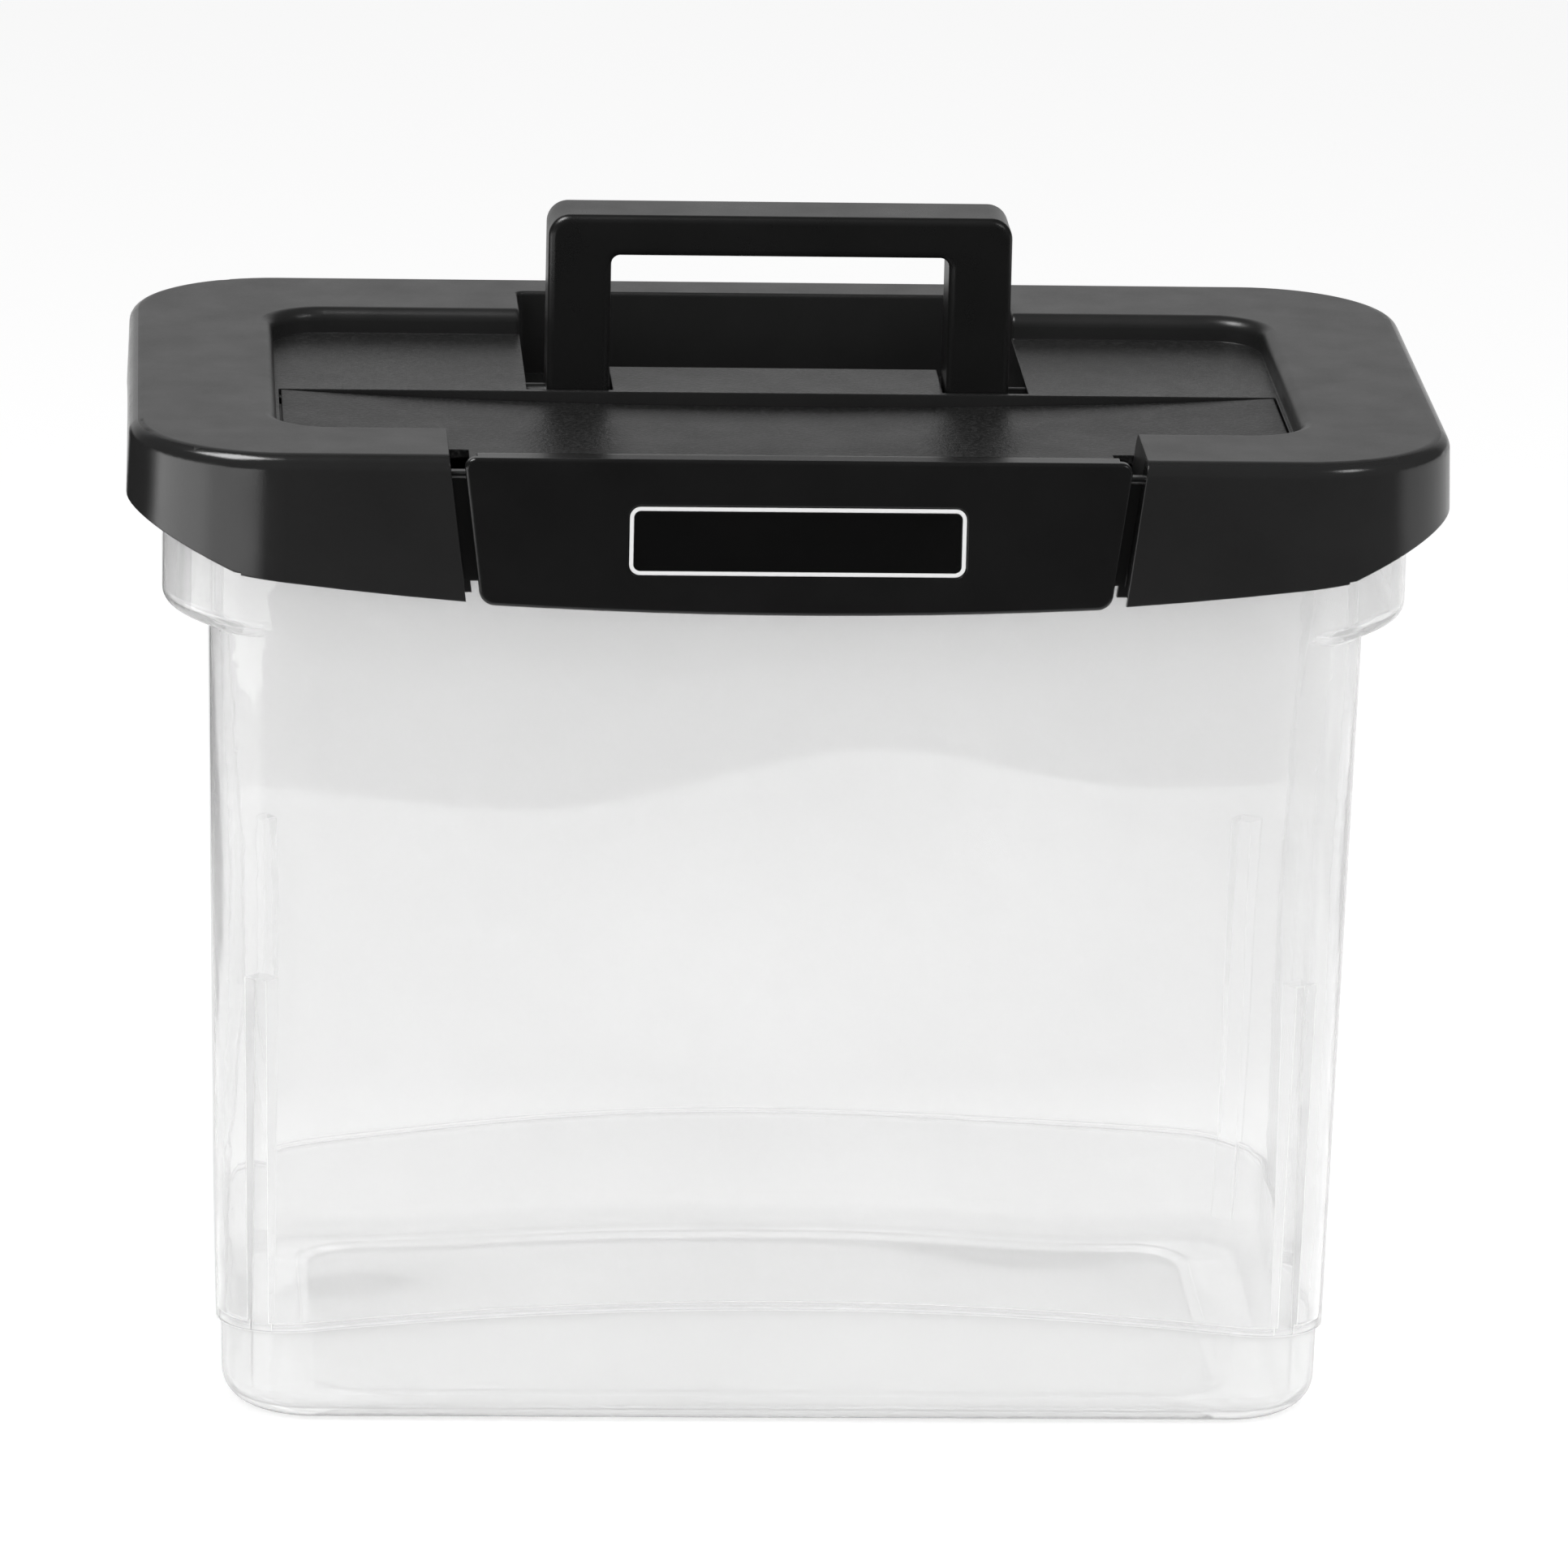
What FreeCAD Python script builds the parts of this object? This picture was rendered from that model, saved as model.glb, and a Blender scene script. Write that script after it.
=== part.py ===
import FreeCAD, Part
import Sketcher
import math
import os
from types import SimpleNamespace

# Portable hanging-file box: a clear tub, a hinged lid with an organizer pocket, a folding handle and a latch.
# Millimetres, +Z up, the latch faces -Y, the origin lies under the middle of the tub's base.

SIZES = {
    # Shared allowances
    "overrun": 5.0,
    "pin_clearance": 0.05,
    "sink": 0.5,
    # Tub walls, drafted from the rim to the base
    "tub_height": 268.0,
    "tub_wall": 2.0,
    "tub_floor": 3.0,
    "tub_rim_width": 317.8,
    "tub_rim_depth": 190.0,
    "tub_side_draft": 4.9,
    "tub_front_draft": 5.8,
    "tub_corner": 27.0,
    # Base band, stepped in below an arched line
    "base_step": 1.5,
    "base_round": 9.0,
    "arch_height": 34.5,
    "arch_radius": 1195.0,
    "floor_panel_side": 28.0,
    "floor_panel_front": 23.2,
    "floor_panel_corner": 14.0,
    "floor_panel_lift": 1.2,
    # Side flanges with the file rails, measured from the rim
    "flange_reach": 12.1,
    "flange_corner": 40.0,
    "flange_drop": 43.2,
    "flange_slope": 3.0,
    "flange_round": 4.0,
    "rail_inset": 2.63,
    "rail_thick": 3.0,
    "rail_length": 132.0,
    "rail_root_drop": 47.0,
    "rail_top_drop": 22.0,
    # Nest bars in the four corners
    "nest_bar_width": 7.0,
    "nest_bar_height": 127.6,
    "nest_bar_inset": 0.8,
    # Latch catch on the front of the tub
    "catch_side_gap": 14.4,
    "catch_drop": 22.0,
    "catch_height": 3.5,
    "catch_setback": 7.5,
    # Lid shell: it stands out over the tub and its skirt flares towards the lower edge
    "lid_rise": 13.0,
    "lid_side_overhang": 9.3,
    "lid_front_overhang": 13.0,
    "lid_corner": 42.0,
    "lid_flare": 1.5,
    "lid_wall": 2.5,
    "lid_round": 4.0,
    "skirt_height": 45.0,
    "skirt_front_height": 43.2,
    "skirt_front_radius": 1150.0,
    "skirt_front_margin": 30.3,
    "skirt_corner_rise": 12.4,
    "skirt_side_height": 15.3,
    "skirt_side_radius": 338.5,
    "seat_rib_inset": 1.0,
    "seat_rib_width": 5.0,
    "seat_rib_length": 100.0,
    "seat_gap": 0.2,
    # Sunk tray in the lid's top
    "recess_side_rim": 40.2,
    "recess_front_rim": 36.0,
    "recess_back_rim": 42.2,
    "recess_corner": 14.5,
    "recess_depth": 7.0,
    "recess_round": 3.4,
    # Organizer pocket under the flap
    "seam": 2.0,
    "flap_gap": 0.3,
    "flap_frame": 1.1,
    "organizer_side_ledge": 6.1,
    "organizer_front_ledge": 2.0,
    "organizer_neck_side_ledge": 2.0,
    "organizer_neck_front_ledge": 2.5,
    "organizer_depth": 24.0,
    # Handle well
    "well_side_gap": 5.5,
    "well_back_rim": 18.0,
    "well_depth": 24.0,
    "well_round": 1.0,
    "well_corner": 2.2,
    "block_gap": 1.0,
    "block_rear": 5.3,
    # Opening for the latch between the two cheeks
    "cheek_width": 86.0,
    "opening_taper": 4.9,
    "opening_height": 39.0,
    "opening_depth": 16.0,
    "cheek_wall": 2.5,
    "cheek_wall_height": 36.5,
    "cheek_gap": 1.5,
    "cheek_return": 5.9,
    "cheek_foot": 1.8,
    # Carry handle
    "handle_width": 129.0,
    "handle_leg": 17.5,
    "handle_thick": 22.0,
    "handle_gap": 0.7,
    "handle_rise": 42.4,
    "handle_grip": 11.4,
    "handle_corner": 6.0,
    "handle_inner_corner": 2.5,
    "handle_round": 2.0,
    "handle_heel_flat": 0.2,
    "handle_pin_radius": 3.0,
    "handle_boss": 6.0,
    "handle_boss_depth": 4.0,
    # Organizer flap
    "flap_side_gap": 1.8,
    "flap_front_gap": 1.5,
    "flap_thick": 2.0,
    "flap_rear": 3.2,
    "flap_notch_gap": 0.7,
    "flap_notch_depth": 13.5,
    "tongue_side_gap": 6.3,
    "tongue_front_gap": 1.5,
    "flap_belly_gap": 2.0,
    "flap_dish": 3.8,
    "flap_dish_end": 0.2,
    "flap_knuckle": 14.0,
    "flap_pin_radius": 1.0,
    "flap_relief": 2.5,
    "flap_boss": 3.5,
    # Front latch
    "latch_side_gap": 3.85,
    "latch_proud": 1.0,
    "latch_plate": 3.0,
    "latch_barrel": 6.0,
    "latch_belly": 2.2,
    "latch_corner": 4.5,
    "latch_top_corner": 3.0,
    "latch_round": 1.0,
    "latch_hook_side_gap": 3.0,
    "latch_hook_drop": 1.5,
    "latch_hook_height": 3.0,
    "latch_hook_gap": 0.7,
    "latch_rod_radius": 1.0,
    "notch_rear_width": 24.0,
    "notch_front_width": 13.0,
    "notch_depth": 2.3,
    "notch_length": 5.5,
    # Blank plate in the latch's face
    "plate_width": 91.0,
    "plate_rise": 11.2,
    "plate_height": 19.0,
    "plate_corner": 3.0,
    "plate_thick": 0.8,
    "plate_pocket": 0.9,
    "plate_gap": 0.3,
    "plate_border": 1.1,
    "plate_border_height": 0.3,
    # Rear hinge of the lid
    "hinge_spacing": 120.0,
    "hinge_inset": 5.0,
    "hinge_drop": 23.4,
    "hinge_knuckle": 11.0,
    "hinge_knuckle_radius": 4.0,
    "hinge_lug": 4.0,
    "hinge_lug_radius": 3.5,
    "hinge_lug_gap": 0.4,
    "hinge_lug_rise": 3.0,
    "hinge_pin_radius": 2.0,
    "rear_notch_margin": 21.0,
    "rear_notch_gap": 7.4,
}

# Direction from a corner's centre to its nest bar, and the tolerance for finding edges
NEST_BAR_ANGLE = 52.0
TOUCH = 1e-4

# World direction of each origin plane's normal, as a sign along its axis
NORMAL_SIGN = {"XY": 1, "XZ": -1, "YZ": 1}


class Size:
    """A length together with the formula that ties a property to the sheet."""

    def __init__(self, value, formula):
        self.value = value
        self.formula = formula

    def __add__(self, other):
        return Size(self.value + other.value, f"({self.formula} + {other.formula})")

    def __sub__(self, other):
        return Size(self.value - other.value, f"({self.formula} - {other.formula})")

    def __neg__(self):
        return Size(-self.value, f"(-1 * {self.formula})")

    def __mul__(self, other):
        if isinstance(other, Size):
            return Size(self.value * other.value, f"({self.formula} * {other.formula})")
        return Size(self.value * other, f"({self.formula} * {other})")

    def __truediv__(self, other):
        if isinstance(other, Size):
            return Size(self.value / other.value, f"({self.formula} / {other.formula})")
        return Size(self.value / other, f"({self.formula} / {other})")


def root(square):
    return Size(math.sqrt(square.value), f"sqrt({square.formula})")


def sag(radius, half_chord):
    """Height of an arc above its chord."""
    return radius - root(radius * radius - half_chord * half_chord)


def sag_radius(height, half_chord):
    """Radius of the arc that rises by height over a chord."""
    return (half_chord * half_chord + height * height) / (height * 2)


def make_sheet():
    sheet = doc.addObject("Spreadsheet::Sheet", "sizes")
    named = {"zero": Size(0, "0")}
    for row, (alias, value) in enumerate(SIZES.items(), start=1):
        sheet.set(f"A{row}", str(value))
        sheet.setAlias(f"A{row}", alias)
        named[alias] = Size(value, f"sizes.{alias}")
    doc.recompute()
    return SimpleNamespace(**named)


def add_derived_sizes():
    """Sizes and places that follow from those in the sheet."""
    size.tub_base_width = size.tub_rim_width - size.tub_side_draft * 2
    size.tub_base_depth = size.tub_rim_depth - size.tub_front_draft * 2
    size.floor_panel_width = size.tub_base_width - size.floor_panel_side * 2
    size.floor_panel_depth = size.tub_base_depth - size.floor_panel_front * 2
    size.flange_width = size.tub_rim_width + size.flange_reach * 2
    size.flange_low = size.tub_height - size.flange_drop
    size.rail_spacing = (tub_half_width(size.flange_low) - size.rail_inset) * 2
    size.rail_low = size.tub_height - size.rail_root_drop
    size.rail_top = size.tub_height - size.rail_top_drop
    size.catch_low = size.tub_height - size.catch_drop

    size.lid_top = size.tub_height + size.lid_rise
    size.lid_width = size.flange_width + size.lid_side_overhang * 2
    size.lid_depth = size.tub_rim_depth + size.lid_front_overhang * 2
    size.skirt_low = size.lid_top - size.skirt_height
    size.skirt_front_low = size.lid_top - size.skirt_front_height
    size.skirt_front_width = size.lid_width - size.skirt_front_margin * 2
    size.skirt_side_high = size.lid_top - size.skirt_side_height
    size.seat_rib_spacing = size.flange_width - size.seat_rib_inset * 2

    size.recess_width = size.lid_width - size.recess_side_rim * 2
    size.recess_front = size.lid_depth / 2 - size.recess_front_rim
    size.recess_back = size.lid_depth / 2 - size.recess_back_rim
    size.opening_top_width = size.lid_width - size.cheek_width * 2
    size.opening_low_width = size.opening_top_width - size.opening_taper * 2
    size.opening_low = size.lid_top - size.opening_height
    size.opening_back = size.lid_depth / 2 - size.opening_depth
    size.cheek_wall_low = size.lid_top - size.cheek_wall_height

    size.flap_width = size.recess_width - size.flap_side_gap * 2
    size.flap_front = size.recess_front - size.flap_front_gap
    size.flap_corner = size.recess_corner - size.flap_side_gap
    size.flap_notch_width = size.opening_top_width + size.flap_notch_gap * 2
    size.flap_notch_front = size.flap_front - size.flap_notch_depth
    size.tongue_width = size.opening_top_width - size.tongue_side_gap * 2
    size.tongue_front = size.opening_back - size.tongue_front_gap
    size.organizer_width = size.recess_width - size.organizer_side_ledge * 2
    size.organizer_front = size.recess_front - size.organizer_front_ledge
    size.organizer_neck_width = size.tongue_width - size.organizer_neck_side_ledge * 2
    size.organizer_neck_front = size.tongue_front - size.organizer_neck_front_ledge
    size.organizer_floor = size.lid_top - size.organizer_depth

    size.handle_top = size.lid_top + size.handle_rise
    size.handle_heel = size.handle_thick / 2 - size.handle_heel_flat
    size.well_width = size.handle_width + size.well_side_gap * 2
    size.well_back = size.lid_depth / 2 - size.well_back_rim
    size.well_floor = size.lid_top - size.well_depth
    size.block_width = size.handle_width - size.handle_leg * 2 - size.block_gap * 2
    size.block_back = size.handle_gap + size.handle_thick + size.block_rear

    size.latch_face = size.lid_depth / 2 + size.latch_proud
    size.latch_low = size.skirt_front_low
    size.latch_corner_low = size.latch_low + size.latch_belly
    size.plate_low = size.latch_low + size.plate_rise
    size.catch_reach = size.latch_face - size.catch_setback
    size.catch_width = size.opening_low_width - size.catch_side_gap * 2
    size.latch_hook_width = size.catch_width - size.latch_hook_side_gap * 2
    size.latch_hook_low = size.catch_low - size.latch_hook_drop - size.latch_hook_height

    size.hinge_y = size.lid_depth / 2 - size.hinge_inset
    size.hinge_z = size.tub_height - size.hinge_drop
    size.notch_width = size.hinge_spacing + size.rear_notch_margin * 2
    size.notch_low = size.hinge_z + size.rear_notch_gap


def new_body(name):
    return doc.addObject("PartDesign::Body", name)


def arc_geometry(start, end, radius, turn):
    """Arc from start to end, turning left when turn is 1, as a counter-clockwise circle arc."""
    first, last = (start, end) if turn > 0 else (end, start)
    chord = last - first
    rise = math.sqrt(max(radius * radius - chord.Length * chord.Length / 4, 0))
    inward = FreeCAD.Vector(-chord.y, chord.x, 0).normalize()
    centre = (first + last) / 2 + inward * rise
    angles = [math.atan2(point.y - centre.y, point.x - centre.x) for point in (first, last)]
    circle = Part.Circle(centre, FreeCAD.Vector(0, 0, 1), radius)
    return Part.ArcOfCircle(circle, *angles)


def draw_loop(drawing, points):
    """Closed loop. A point (x, y) starts a straight run and (x, y, radius, turn) starts an arc."""
    spots = [FreeCAD.Vector(point[0].value, point[1].value, 0) for point in points]
    first = drawing.GeometryCount
    ends = []
    for index, point in enumerate(points):
        start = spots[index]
        end = spots[(index + 1) % len(points)]
        if len(point) == 2:
            drawing.addGeometry(Part.LineSegment(start, end))
            ends.append((1, 2))
        else:
            drawing.addGeometry(arc_geometry(start, end, point[2].value, point[3]))
            ends.append((1, 2) if point[3] > 0 else (2, 1))
    for index, point in enumerate(points):
        here = first + index
        following = (index + 1) % len(points)
        drawing.addConstraint(
            Sketcher.Constraint("Coincident", here, ends[index][1], first + following, ends[following][0]))
        for kind, place in zip(("DistanceX", "DistanceY"), point):
            number = drawing.addConstraint(
                Sketcher.Constraint(kind, -1, 1, here, ends[index][0], place.value))
            drawing.setExpression(f"Constraints[{number}]", place.formula)
        if len(point) > 2:
            number = drawing.addConstraint(Sketcher.Constraint("Radius", here, point[2].value))
            drawing.setExpression(f"Constraints[{number}]", point[2].formula)


def draw_circle(drawing, x, y, radius):
    circle = Part.Circle(FreeCAD.Vector(x.value, y.value, 0), FreeCAD.Vector(0, 0, 1), radius.value)
    here = drawing.addGeometry(circle)
    for kind, place in (("DistanceX", x), ("DistanceY", y)):
        number = drawing.addConstraint(Sketcher.Constraint(kind, -1, 1, here, 3, place.value))
        drawing.setExpression(f"Constraints[{number}]", place.formula)
    number = drawing.addConstraint(Sketcher.Constraint("Radius", here, radius.value))
    drawing.setExpression(f"Constraints[{number}]", radius.formula)


def sketch(body, name, plane, level, *loops):
    """Sketch of closed loops on an origin plane moved to a level; a loop of three sizes is a circle."""
    drawing = body.newObject("Sketcher::SketchObject", name)
    support = next(item for item in body.Origin.OriginFeatures if item.Role == plane + "_Plane")
    drawing.AttachmentSupport = (support, [""])
    drawing.MapMode = "FlatFace"
    drawing.setExpression("AttachmentOffset.Base.z", (level * NORMAL_SIGN[plane]).formula)
    for loop in loops:
        if isinstance(loop[0], Size):
            draw_circle(drawing, *loop)
        else:
            draw_loop(drawing, loop)
    return drawing


def rectangle(x_low, x_high, y_low, y_high):
    return [(x_low, y_low), (x_high, y_low), (x_high, y_high), (x_low, y_high)]


def rounded(x_low, x_high, y_low, y_high, radius):
    return [
        (x_low + radius, y_low),
        (x_high - radius, y_low, radius, 1),
        (x_high, y_low + radius),
        (x_high, y_high - radius, radius, 1),
        (x_high - radius, y_high),
        (x_low + radius, y_high, radius, 1),
        (x_low, y_high - radius),
        (x_low, y_low + radius, radius, 1),
    ]


def centred(half_width, half_depth, radius):
    return rounded(-half_width, half_width, -half_depth, half_depth, radius)


def block(body, name, plane, low, high, *loops):
    """Adds the loops' area, from low to high along the plane's axis."""
    start = low if NORMAL_SIGN[plane] > 0 else high
    feature = body.newObject("PartDesign::Pad", name)
    feature.Profile = sketch(body, name + "_sketch", plane, start, *loops)
    feature.setExpression("Length", (high - low).formula)
    body.Tip = feature


def hollow(body, name, plane, low, high, *loops):
    """Cuts the loops' area away, from low to high along the plane's axis."""
    start = high if NORMAL_SIGN[plane] > 0 else low
    feature = body.newObject("PartDesign::Pocket", name)
    feature.Profile = sketch(body, name + "_sketch", plane, start, *loops)
    feature.setExpression("Length", (high - low).formula)
    body.Tip = feature


def loft(body, name, kind, plane, sections):
    """Ruled loft through (level, loop) sections; kind is Additive or Subtractive."""
    drawings = [
        sketch(body, f"{name}_{number}", plane, level, loop)
        for number, (level, loop) in enumerate(sections, start=1)
    ]
    feature = body.newObject(f"PartDesign::{kind}Loft", name)
    feature.Profile = drawings[0]
    feature.Sections = drawings[1:]
    feature.Ruled = True
    body.Tip = feature


def fillet(body, name, radius, wanted):
    """Rounds the edges that wanted picks on the body as it stands."""
    doc.recompute()
    base = body.Tip
    picked = [f"Edge{number}" for number, edge in enumerate(base.Shape.Edges, start=1) if wanted(edge)]
    feature = body.newObject("PartDesign::Fillet", name)
    feature.Base = (base, picked)
    feature.setExpression("Radius", radius.formula)
    body.Tip = feature


def draft(body, name, slope, level):
    """Flares the upright faces outwards below a level face; slope is run over rise."""
    doc.recompute()
    base = body.Tip
    faces = {f"Face{number}": face for number, face in enumerate(base.Shape.Faces, start=1)}
    feature = body.newObject("PartDesign::Draft", name)
    feature.Base = (base, [label for label, face in faces.items() if face.BoundBox.ZLength > TOUCH])
    feature.NeutralPlane = (base, [label for label, face in faces.items() if lies_at("Z", level)(face)])
    feature.setExpression("Angle", f"atan({slope.formula})")
    body.Tip = feature


def lies_at(axis, *levels):
    """Picks edges or faces that lie wholly in a plane across the axis, at one of the levels."""

    def wanted(shape):
        box = shape.BoundBox
        low, high = getattr(box, axis + "Min"), getattr(box, axis + "Max")
        return any(abs(low - level.value) < TOUCH and abs(high - level.value) < TOUCH for level in levels)

    return wanted


def both(name, sides=(("left", -1), ("right", 1))):
    """Pairs each side's own name with its sign along X."""
    return [(f"{name}_{word}", sign) for word, sign in sides]


def span(middle, length, sign):
    """Low and high end of a stretch around a place that is mirrored by sign."""
    centre = middle * sign
    return centre - length / 2, centre + length / 2


# Tub

def tub_half_width(height):
    """Half the tub's outside width at a height of its drafted walls."""
    return size.tub_rim_width / 2 - size.tub_side_draft * tub_depth_share(height)


def tub_half_depth(height):
    return size.tub_rim_depth / 2 - size.tub_front_draft * tub_depth_share(height)


def tub_depth_share(height):
    """How far down from the rim a height lies, as a share of the tub's height."""
    return (size.tub_height - height) / size.tub_height


def tub_loop(height, inset):
    half_width = tub_half_width(height) - inset
    half_depth = tub_half_depth(height) - inset
    return centred(half_width, half_depth, size.tub_corner - inset)


def arch_loop(lift, low):
    half = size.flange_width / 2 + size.overrun
    shoulder = size.arch_height + lift - sag(size.arch_radius, half)
    return [(-half, low), (half, low), (half, shoulder, size.arch_radius, 1), (-half, shoulder)]


def tub_form(body, name, inset, low, high, lift):
    """Tub's outline as a solid: drafted walls, the base band under its arch and the side flanges."""
    loft(body, name + "_walls", "Additive", "XY", [
        (low, tub_loop(low, inset)),
        (high, tub_loop(high, inset)),
    ])
    reach = size.tub_rim_depth / 2 + size.overrun
    hollow(body, name + "_arch", "XZ", -reach, reach, arch_loop(lift, low - size.overrun))
    band = inset + size.base_step
    band_top = size.arch_height + lift + size.base_step
    loft(body, name + "_band", "Additive", "XY", [
        (low, tub_loop(low, band)),
        (band_top, tub_loop(band_top, band)),
    ])
    fillet(body, name + "_base_round", size.base_round - inset, lies_at("Z", low))
    flange_foot = size.flange_low + lift
    flange_side = flange_foot + size.flange_slope
    depth = tub_half_depth(size.flange_low) - inset - size.sink
    foot_width = tub_half_width(size.flange_low) - inset - size.sink
    side = centred(size.flange_width / 2 - inset, depth, size.flange_corner - inset)
    foot = centred(foot_width, depth, size.tub_corner - inset)
    loft(body, name + "_flange_slope", "Additive", "XY", [(flange_foot, foot), (flange_side, side)])
    block(body, name + "_flange", "XY", flange_side, high, side)
    fillet(body, name + "_flange_round", size.flange_round - inset, lies_at("Z", flange_side))


def nest_bar(sign_x, sign_y):
    """Plan of a bar that stands against a corner, from the inner corner's arc outwards."""
    radius = size.tub_corner - size.tub_wall
    centre_x = size.tub_base_width / 2 - size.tub_corner
    centre_y = size.tub_base_depth / 2 - size.tub_corner
    out_x_share = math.cos(math.radians(NEST_BAR_ANGLE))
    out_y_share = math.sin(math.radians(NEST_BAR_ANGLE))
    inner = radius - size.nest_bar_inset - size.base_step
    outer = size.tub_corner + size.tub_corner
    half = size.nest_bar_width / 2
    corners = [(inner, -half), (outer, -half), (outer, half), (inner, half)]
    loop = []
    for along, across in corners:
        x = centre_x + along * out_x_share - across * out_y_share
        y = centre_y + along * out_y_share + across * out_x_share
        loop.append((x * sign_x, y * sign_y))
    return loop


def hinge_lug_loop():
    low = size.hinge_z - size.hinge_lug_radius
    high = size.hinge_z + size.hinge_lug_radius
    inside = size.tub_rim_depth / 2 - size.tub_wall
    return [
        (inside, low + size.hinge_lug_rise),
        (size.hinge_y, low, size.hinge_lug_radius, 1),
        (size.hinge_y + size.hinge_lug_radius, size.hinge_z, size.hinge_lug_radius, 1),
        (size.hinge_y, high),
        (inside, high + size.hinge_lug_rise),
    ]


def make_tub():
    outside = new_body("tub_outside")
    tub_form(outside, "outside", size.zero, size.zero, size.tub_height, size.zero)
    panel = (size.floor_panel_width / 2, size.floor_panel_depth / 2, size.floor_panel_corner)
    hollow(outside, "floor_panel", "XY", size.zero, size.floor_panel_lift, centred(*panel))
    half_notch = size.notch_width / 2
    hollow(
        outside, "rear_notch", "XZ", size.tub_rim_depth / 4, size.tub_rim_depth / 2 + size.overrun,
        rectangle(-half_notch, half_notch, size.notch_low, size.tub_height + size.overrun))
    half_catch = size.catch_width / 2
    block(
        outside, "latch_catch", "XZ", -size.catch_reach, -(size.tub_rim_depth / 2 - size.tub_wall),
        rectangle(-half_catch, half_catch, size.catch_low, size.catch_low + size.catch_height))
    offset = (size.hinge_knuckle + size.hinge_lug) / 2 + size.hinge_lug_gap
    for name, sign in both("hinge"):
        for part, side in both(name + "_lug", (("inner", -1), ("outer", 1))):
            low, high = span(size.hinge_spacing / 2 + offset * side, size.hinge_lug, sign)
            block(outside, part, "YZ", low, high, hinge_lug_loop())
    reach = size.hinge_spacing / 2 + offset + size.overrun
    bore = (size.hinge_y, size.hinge_z, size.hinge_pin_radius + size.pin_clearance)
    hollow(outside, "hinge_bores", "YZ", -reach, reach, bore)

    inside = new_body("tub_inside")
    top = size.tub_height + size.overrun
    tub_form(inside, "inside", size.tub_wall, size.tub_floor, top, size.tub_wall)
    grown = [panel_size + size.tub_floor for panel_size in panel]
    hollow(
        inside, "floor_rise", "XY", size.tub_floor, size.tub_floor + size.floor_panel_lift, centred(*grown))
    for name, sign in both("rail"):
        low, high = span(size.rail_spacing / 2, size.rail_thick, sign)
        half_rail = size.rail_length / 2
        hollow(inside, name, "XY", size.rail_low, size.rail_top, rectangle(low, high, -half_rail, half_rail))
    for name, sign_x in both("nest_bar"):
        for part, sign_y in both(name, (("front", -1), ("back", 1))):
            hollow(inside, part, "XY", size.tub_floor, size.nest_bar_height, nest_bar(sign_x, sign_y))

    tub = doc.addObject("Part::Cut", "tub")
    tub.Base = outside
    tub.Tool = inside
    return tub


# Lid

def lid_loop(height, inset):
    """Lid's outline at a height of its flared skirt."""
    flare = size.lid_flare * ((size.lid_top - height) / (size.lid_top - size.skirt_low))
    half_width = size.lid_width / 2 + flare - inset
    half_depth = size.lid_depth / 2 + flare - inset
    return centred(half_width, half_depth, size.lid_corner + flare - inset)


def skirt_front_loop():
    """Space below the skirt: an arc across the front, then a steady rise round each corner."""
    half = size.skirt_front_width / 2
    far = size.lid_width / 2 + size.lid_flare + size.overrun
    low = size.skirt_low - size.overrun
    shoulder = size.skirt_front_low + sag(size.skirt_front_radius, half)
    end = shoulder + (far - half) * (size.skirt_corner_rise / size.skirt_front_margin)
    return [
        (-far, low),
        (far, low),
        (far, end),
        (half, shoulder, size.skirt_front_radius, -1),
        (-half, shoulder),
        (-far, end),
    ]


def skirt_side_loop():
    half = size.lid_depth / 2 + size.lid_flare + size.overrun
    low = size.skirt_low - size.overrun
    shoulder = size.skirt_side_high - sag(size.skirt_side_radius, half)
    return [(-half, low), (half, low), (half, shoulder, size.skirt_side_radius, 1), (-half, shoulder)]


def opening_half(height):
    """Half the width between the cheeks at a height."""
    rise_share = (height - size.opening_low) / (size.lid_top - size.opening_low)
    return (size.opening_low_width + (size.opening_top_width - size.opening_low_width) * rise_share) / 2


def opening_loop(low, high):
    return [
        (-opening_half(low), low),
        (opening_half(low), low),
        (opening_half(high), high),
        (-opening_half(high), high),
    ]


def cheek_loop(sign, low, high, inward, outward):
    """Front view of a wall along the opening's slanted side, which it passes by inward and outward."""
    loop = [
        (opening_half(low) - inward, low),
        (opening_half(low) + outward, low),
        (opening_half(high) + outward, high),
        (opening_half(high) - inward, high),
    ]
    return [(x * sign, z) for x, z in loop]


def tray_front_loop(half_width, front, back, corner):
    """Plan with rounded front corners and square rear ones."""
    return [
        (-half_width, -back),
        (-half_width, corner - front, corner, 1),
        (corner - half_width, -front),
        (half_width - corner, -front, corner, 1),
        (half_width, corner - front),
        (half_width, -back),
    ]


def well_loop():
    """Plan of the well, which goes round the block between the handle's legs."""
    half = size.well_width / 2
    inner = size.block_width / 2
    corner = size.well_corner
    return [
        (-half, size.zero),
        (-inner, size.zero),
        (-inner, size.block_back),
        (inner, size.block_back),
        (inner, size.zero),
        (half, size.zero),
        (half, size.well_back - corner, corner, 1),
        (half - corner, size.well_back),
        (corner - half, size.well_back, corner, 1),
        (-half, size.well_back - corner),
    ]


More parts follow.
